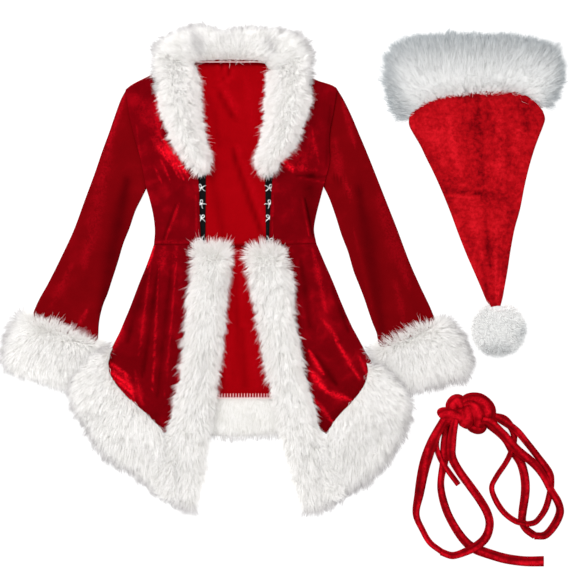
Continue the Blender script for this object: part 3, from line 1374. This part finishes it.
@dataclass
class FurBall:
    """The pompom: a stuffed ball of faux fur, pressed a little where it lies.

    Args:
        finish: Its material.
        centre: Its middle in plan, in mm.
        radius: Radius of the backing, in mm.
        low: Height of its underside, in mm.
        high: Height of its top, in mm.
        around: Steps round it.
        up: Steps from its underside to its top.
    """

    finish: bpy.types.Material
    centre: tuple[float, float] = (426.0, -66.0)
    radius: float = 46.5
    low: float = 3.0
    high: float = 48.0
    around: int = 64
    up: int = 32

    def build(self) -> bpy.types.Object:
        """Returns the ball's backing, with its pile on it."""
        turn, rise = np.meshgrid(
            np.linspace(0, 2 * math.pi, self.around + 1),
            np.linspace(-0.49 * math.pi, 0.49 * math.pi, self.up + 1))
        x = self.centre[0] + self.radius * np.cos(rise) * np.cos(turn)
        y = self.centre[1] + self.radius * np.cos(rise) * np.sin(turn)
        middle, half = (self.low + self.high) / 2, (self.high - self.low) / 2
        z = middle + half * np.sin(rise)
        surface = np.stack([x, y, z], axis=2)
        obj = mesh_object("hat_pompom_backing", welded_bmesh(surface), self.finish)
        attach(obj, "root")
        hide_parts("hat_pompom")
        plan = Plan(((0, 0, 1, 0), (0, 1, 1, 1)), self.up, self.around)
        Pile(24000, Flow(0, 0, 0, lift=0.9, stray=0.3), 41, length=12, gather=0.22,
             bare=POMPOM_SEAT).build("hat_pompom", surface, plan, self.finish)
        return obj


@dataclass
class Cord:
    """A closed tube along a line of points, for wires, thread and folds of the knot.

    Args:
        name: The piece's name.
        finish: Its material.
        line: Points of x, y, z, width and height along it, in mm.
        steps: Steps along it.
        around: Steps round its section.
        ridges: Depth of the lengthwise creases, as a share of the section.
        phase: Turn of the creases round the section.
        wall: Thickness of the cloth where the tube is hollow, in mm.
    """

    name: str
    finish: bpy.types.Material
    line: Rows
    steps: int = 40
    around: int = 8
    ridges: float = 0.0
    phase: float = 0.0
    wall: float = 0.0

    def mesh(self) -> bmesh.types.BMesh:
        """Returns the tube, hollow where it has a wall."""
        outer = self.rings(0.0)
        if self.wall:
            return hollow_bmesh(outer, self.rings(2 * self.wall))
        return welded_bmesh(outer)

    def rings(self, less: float) -> np.ndarray:
        """Returns the rings of points along the tube, thinner by so many mm."""
        table = smooth_rows(self.line, self.steps)
        run = np.gradient(table[:, :3], axis=0)
        run /= np.maximum(np.linalg.norm(run, axis=1, keepdims=True), 1e-9)
        side = np.stack([run[:, 1], -run[:, 0], np.zeros(len(run))], axis=1)
        side /= np.maximum(np.linalg.norm(side, axis=1, keepdims=True), 1e-9)
        up = np.cross(side, run)
        turn = np.linspace(0, 2 * math.pi, self.around + 1)
        along = np.linspace(0, 1, self.steps + 1)[:, None]
        round_off = (1 - np.abs(2 * along - 1) ** 10) ** 0.5
        swell = 1 + self.ridges * np.cos(4 * turn + self.phase + 1.5 * along)
        wide, high = ((np.maximum(round_off, 0.12) * table[:, k : k + 1]) for k in (3, 4))
        wide, high = (swell * np.maximum(size - less, 0.4 * size) / 2 for size in (wide, high))
        return (table[:, None, :3] + side[:, None] * (wide * np.cos(turn))[..., None]
                + up[:, None] * (high * np.sin(turn))[..., None])

    def build(self) -> bpy.types.Object:
        """Returns the tube's object."""
        obj = mesh_object(self.name, self.mesh(), self.finish)
        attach(obj, "root")
        return obj


@dataclass
class Belt:
    """The tie belt: a narrow velvet tube in loose loops, knotted at the top."""

    velvet: bpy.types.Material

    def build(self) -> None:
        """Builds every stretch and the knot."""
        for node, line in BELT_LINES.items():
            OUTLINES[node] = ribbon_rows(line)
            STROKES[node] = ribbon_strokes(OUTLINES[node], 0.2)
            length = sum(math.dist(a[:2], b[:2]) for a, b in zip(line, line[1:]))
            width = sum(row[2] for row in line) / len(line)
            ClothTube(node, self.velvet, (TUBE_ROUND * width * MM, length * MM),
                      down=round(length / 5), across=8, level=0.7).build()
        self.knot()

    def knot(self) -> None:
        """Builds the knot's folds."""
        for i, (name, line) in enumerate(KNOT_FOLDS.items()):
            obj = Cord(f"belt_knot_{name}", self.velvet, line, steps=26, around=20, ridges=0.07,
                       phase=1.7 * i, wall=SLEEVE_WALL).build()
            ribbon = tuple((row[0], row[1], row[3]) for row in line)
            paint_shine(obj, ribbon_strokes(ribbon_rows(ribbon), 0.08))
            if i == 0:
                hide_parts("belt_knot")


@dataclass
class Studio:
    """Floor, lights and camera."""

    def build(self) -> None:
        """Builds the studio."""
        self.camera()
        self.floor()
        self.lights()

    def camera(self) -> None:
        """Sets a camera straight above the middle of the picture."""
        data = bpy.data.cameras.new("above")
        data.lens = CAMERA_LENS
        data.sensor_width = SENSOR_WIDTH
        obj = add_object("above", data)
        obj.location = (CAMERA_CENTRE[0] * MM, CAMERA_CENTRE[1] * MM, CAMERA_HEIGHT)
        bpy.context.scene.camera = obj
        bpy.context.scene.view_settings.view_transform = "Standard"

    def floor(self) -> None:
        """Lays a plain white floor, lit from inside like a light table."""
        graph = Graph("white_light_table")
        plain = graph.node("BsdfDiffuse", {"Color": linear("#FDFDFD")})
        glow = graph.node("Emission", {"Color": linear("#FFFFFF"), "Strength": GLOW_STRENGTH})
        material = graph.close("MixShader", {0: FLOOR_GLOW, 1: plain, 2: glow})
        bm = bmesh.new()
        bmesh.ops.create_grid(bm, x_segments=2, y_segments=2, size=FLOOR_HALF)
        obj = mesh_object("floor", bm, material)
        obj.location.z = -FLOOR_DROP

    def lights(self) -> None:
        """Sets an even white surround, and one large soft light from the upper left."""
        world = bpy.data.worlds.new("white_studio")
        world.use_nodes = True
        background = world.node_tree.nodes["Background"]
        background.inputs["Color"].default_value = (1, 1, 1, 1)
        background.inputs["Strength"].default_value = WORLD_STRENGTH
        bpy.context.scene.world = world
        data = bpy.data.lights.new("softbox", "AREA")
        data.shape = "RECTANGLE"
        data.size, data.size_y = SOFTBOX_SIZE
        data.energy = SOFTBOX_POWER
        obj = add_object("softbox", data)
        obj.location = SOFTBOX_PLACE
        obj.rotation_euler = (-obj.location).to_track_quat("-Z", "Y").to_euler()


def main() -> None:
    """Builds the studio and every sub-assembly."""
    logging.basicConfig(level=logging.INFO)
    Studio().build()
    white_fur = Fur("warm_white_faux_fur", "#EEEDEA", "#FCFBFA", "#AEAAAC").build()
    cool_fur = Fur("cool_white_faux_fur", "#F3F3F3", "#FDFDFC", "#98A0A5").build()
    coat_velvet = Velvet("dark_red_velvet", "#3A0103", "#680209", "#DC0C1E", 0.16).build()
    sleeve_velvet = Velvet("dark_red_velvet_sleeve", "#400104", "#680308", "#CC0C1E", 0.07).build()
    lining = Velvet("matte_red_velvet_back", "#620004", "#8C0209", "#B00614", 0.08).build()
    hat_velvet = Velvet(
        "bright_red_crushed_velvet", "#5E0308", "#9C0A12", "#D81A26", 0.42, 120.0).build()
    belt_velvet = Velvet("red_velvet_tube", "#560308", "#84040C", "#DC1022", 0.4, 70.0).build()
    Coat(coat_velvet, sleeve_velvet, lining, white_fur, Tape().build(), Metal().build(),
         Thread().build()).build()
    Hat(hat_velvet, cool_fur).build()
    Belt(belt_velvet).build()
    meshes = [obj.data for obj in bpy.context.scene.objects if obj.type == "MESH"]
    LOG.info("%d meshes, %d triangles", len(meshes),
             sum(len(face.vertices) - 2 for mesh in meshes for face in mesh.polygons))


if __name__ == "__main__":
    main()
